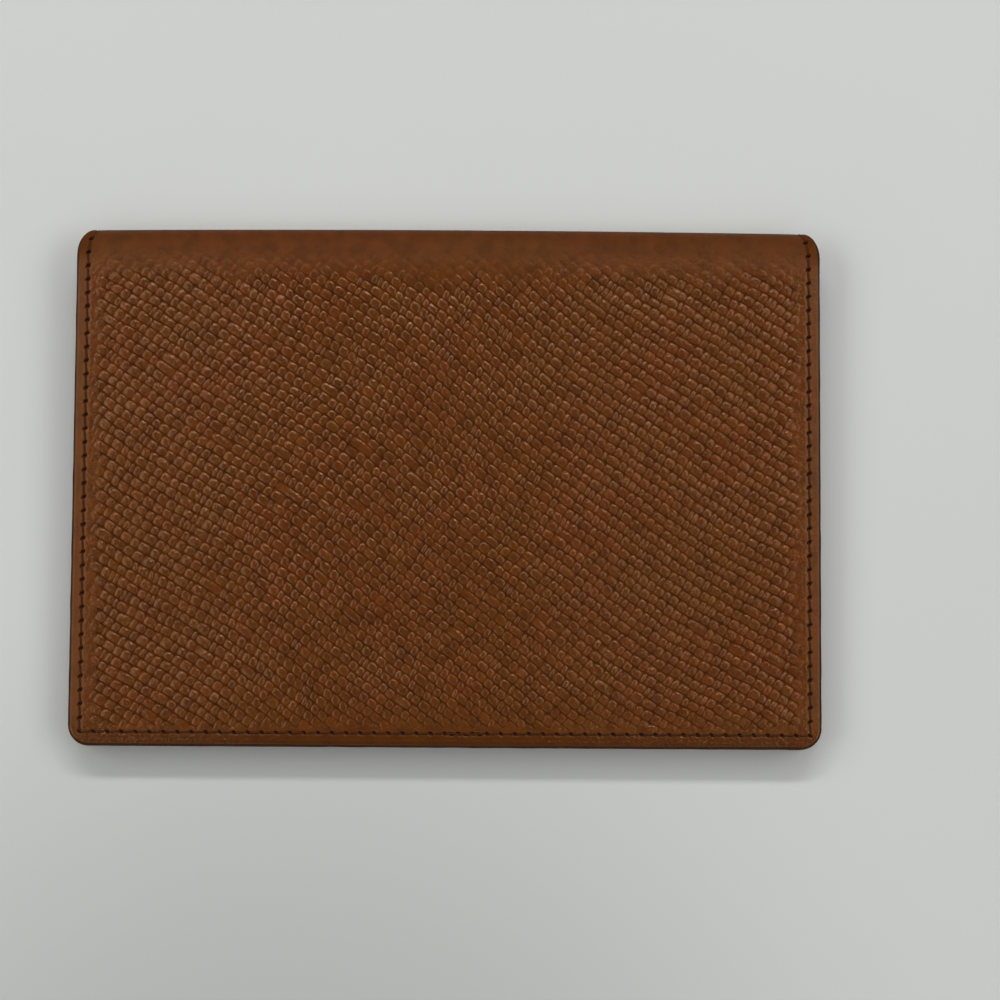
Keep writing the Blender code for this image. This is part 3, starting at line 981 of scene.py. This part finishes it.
def add_sleeve(name, side, material):
    marks, _ = seam_marks(0.0)
    marks = marks[marks[:, 1] > MOUTH + 0.8]
    profile = INNER_MARGIN + [(4.4, 0.0), (4.8, 0.0), (5.2, 0.0)]
    inner = grid_points(MOUTH, 5.5, 1.5)
    crease = []
    x = np.arange(-HALF + 5.6, HALF - 5.6, 1.0)
    for gap, dip in MOUTH_CREASE:
        crease.append(marked(np.column_stack([x, np.full(len(x), MOUTH + gap)]), dip))
    keep = inner[:, 1] > MOUTH + 2.3
    inner = np.concatenate([inner[keep], *crease])
    upper = stitched_face(profile, MOUTH, marks, inner)
    lower = plain_face(profile, MOUTH, 1.6)

    def bow(x, t):
        """The mouth stands slightly open in the middle of its length."""
        open_share = (1.0 - (x / (HALF - 6.0)) ** 2).clip(0.0, 1.0)
        return 0.35 * open_share * (1.0 - smooth(MOUTH, MOUTH + 34.0, t))

    def face_h(points):
        x, t, dip = points[:, 0], points[:, 1], points[:, 2]
        return sleeve_level(x, t) + SLEEVE - dip + bow(x, t)

    def under_h(points):
        x, t = points[:, 0], points[:, 1]
        return sleeve_level(x, t) + bow(x, t)

    obj = sheet_object(f"{name}_sleeve_leather", side, upper, lower, face_h, under_h, material)
    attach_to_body(obj, f"{name}_cover")
    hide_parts(f"{name}_sleeve", f"{name}_sleeve_margin")


def inner_level(x, t):
    """Depth of the inner face along the seam: the lining, then the sleeve sewn over it."""
    rise = LOW + SLEEVE - LINING_FACE
    return LINING_FACE + rise * smooth(MOUTH - 0.9, MOUTH - 0.1, t)


def outer_level(side):
    """Depth of the outer face along the seam. Under the holder the table presses the thread in."""
    rest = 0.0 if side > 0 else PRESSED

    def level(x, t):
        return rest * smooth(0.0, FLAT, t)

    return level


def add_stitches(name, side, label, level, inwards, material, rng):
    marks, tack = seam_marks(0.0)
    runs = [marks, tack]
    if side > 0:
        first, last = marks[0], marks[-1]
        runs.append(np.array([[first[0], -first[1]], first]))
        runs.append(np.array([[last[0], -last[1]], last]))
    points, faces, strands = stitch_mesh(rng, runs, level, inwards)
    world = bend(points, side)
    attributes = {"strand": strands, "sheet": points}
    obj = make_object(f"{name}_stitches_{label}", world, faces, attributes, material)
    attach(obj)
    nodes = [f"{name}_seam_{label}"]
    nodes += [f"spine_seam_{label}_left", f"spine_seam_{label}_right"]
    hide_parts(*nodes)


def add_edge(name, side, material, rng):
    """The painted bead round the edge. The two leathers show in it as two soft swellings."""
    lines = []
    base = border(0.0)
    rise = LOW + SLEEVE - LINING_FACE
    wobble = 1.0 + 0.10 * drift(rng, base[:, 0], base[:, 1], 6.0)
    for out, h, share in EDGE_SECTION:
        line = border(-out)
        depth = h + share * rise * smooth(MOUTH - 0.9, MOUTH - 0.1, line[:, 1])
        line = base + (line - base) * wobble[:, None]
        lines.append(np.column_stack([line, depth]))
    rows, columns = len(lines), len(base)
    points = np.concatenate(lines)
    faces = []
    for r in range(rows):
        n = (r + 1) % rows
        for c in range(columns - 1):
            here, there = r * columns + c, n * columns + c
            faces.append((here, here + 1, there + 1, there))
    faces.append(tuple(r * columns for r in reversed(range(rows))))
    faces.append(tuple(r * columns + columns - 1 for r in range(rows)))
    world = bend(points, side)
    ends = [[r * columns + c for r in range(rows)] for c in (0, columns - 1)]
    sharp = [pair for end in ends for pair in zip(end, end[1:] + end[:1])]
    obj = make_object(f"{name}_edge_paint", world, faces, {"sheet": points}, material, sharp)
    attach(obj)
    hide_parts(f"{name}_edge_coat", "spine_edge_coat_left", "spine_edge_coat_right")


def add_pieces():
    outer = outer_leather()
    lining = inner_leather("lining_leather", linear(150, 98, 58), linear(112, 66, 34), 1.5)
    sleeve = inner_leather("sleeve_leather", linear(138, 86, 48), linear(98, 56, 28), 1.2)
    thread = thread_material()
    paint = edge_paint()
    board = board_material()
    for name, side, seed in (("front", 1, SEED), ("back", -1, SEED + 1)):
        rng = np.random.default_rng(seed)
        add_outer(name, side, outer, rng)
        add_lining(name, side, lining)
        add_sleeve(name, side, sleeve)
        add_stitches(name, side, "outer", outer_level(side), 1.0, thread, rng)
        add_stitches(name, side, "inner", inner_level, -1.0, thread, rng)
        add_edge(name, side, paint, rng)
        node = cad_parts[f"{name}_board"]
        node.data.materials.clear()
        node.data.materials.append(board)


# ---------------------------------------------------------------- table, lights and camera


def add_floor():
    mesh = bpy.data.meshes.new("table")
    size = 1.6
    corners = [(-size, -size, 0.0), (size, -size, 0.0), (size, size, 0.0), (-size, size, 0.0)]
    mesh.from_pydata(corners, [], [(0, 1, 2, 3)])
    mesh.materials.append(floor_material())
    floor = bpy.data.objects.new("table", mesh)
    bpy.context.scene.collection.objects.link(floor)


def add_light(name, centre, size, power, target=(0.0, 0.0, 0.0)):
    light = bpy.data.lights.new(name, "AREA")
    light.shape = "RECTANGLE"
    light.size, light.size_y = size
    light.energy = power
    lamp = bpy.data.objects.new(name, light)
    bpy.context.scene.collection.objects.link(lamp)
    lamp.location = centre
    lamp.rotation_euler = (Vector(target) - Vector(centre)).to_track_quat("-Z", "Y").to_euler()


def add_lights():
    world = bpy.data.worlds.new("room")
    world.use_nodes = True
    background = world.node_tree.nodes["Background"]
    background.inputs["Color"].default_value = (0.93, 1.0, 0.97, 1.0)
    background.inputs["Strength"].default_value = 0.08
    bpy.context.scene.world = world
    add_light("ceiling_left", (-1.1, 0.15, 1.0), (1.0, 1.5), 9.8, (-1.1, 0.15, 0.0))
    add_light("ceiling_right", (1.1, 0.15, 1.0), (1.0, 1.5), 10.4, (1.1, 0.15, 0.0))
    add_light("lamp_top", (0.0, 1.0, 1.05), (1.2, 0.14), 8.0)
    add_light("fill_front", (0.0, -0.95, 1.0), (1.6, 0.6), 1.8)


def add_camera():
    camera = bpy.data.cameras.new("camera")
    camera.sensor_width = 36.0
    camera.angle = math.radians(23.45)
    camera.clip_start = 0.01
    obj = bpy.data.objects.new("camera", camera)
    bpy.context.scene.collection.objects.link(obj)
    tilt = math.radians(5.6)
    roll = math.radians(0.35)
    aim = Vector((0.0100, -0.0026, 0.0075))
    away = 0.450
    turn = Matrix.Rotation(tilt, 4, "X") @ Matrix.Rotation(roll, 4, "Z")
    place = aim + Vector((0.0, -math.sin(tilt), math.cos(tilt))) * away
    obj.matrix_world = Matrix.Translation(place) @ turn
    bpy.context.scene.camera = obj


add_pieces()
add_floor()
add_lights()
add_camera()
bpy.context.scene.view_settings.view_transform = "Standard"

bpy.context.view_layer.update()
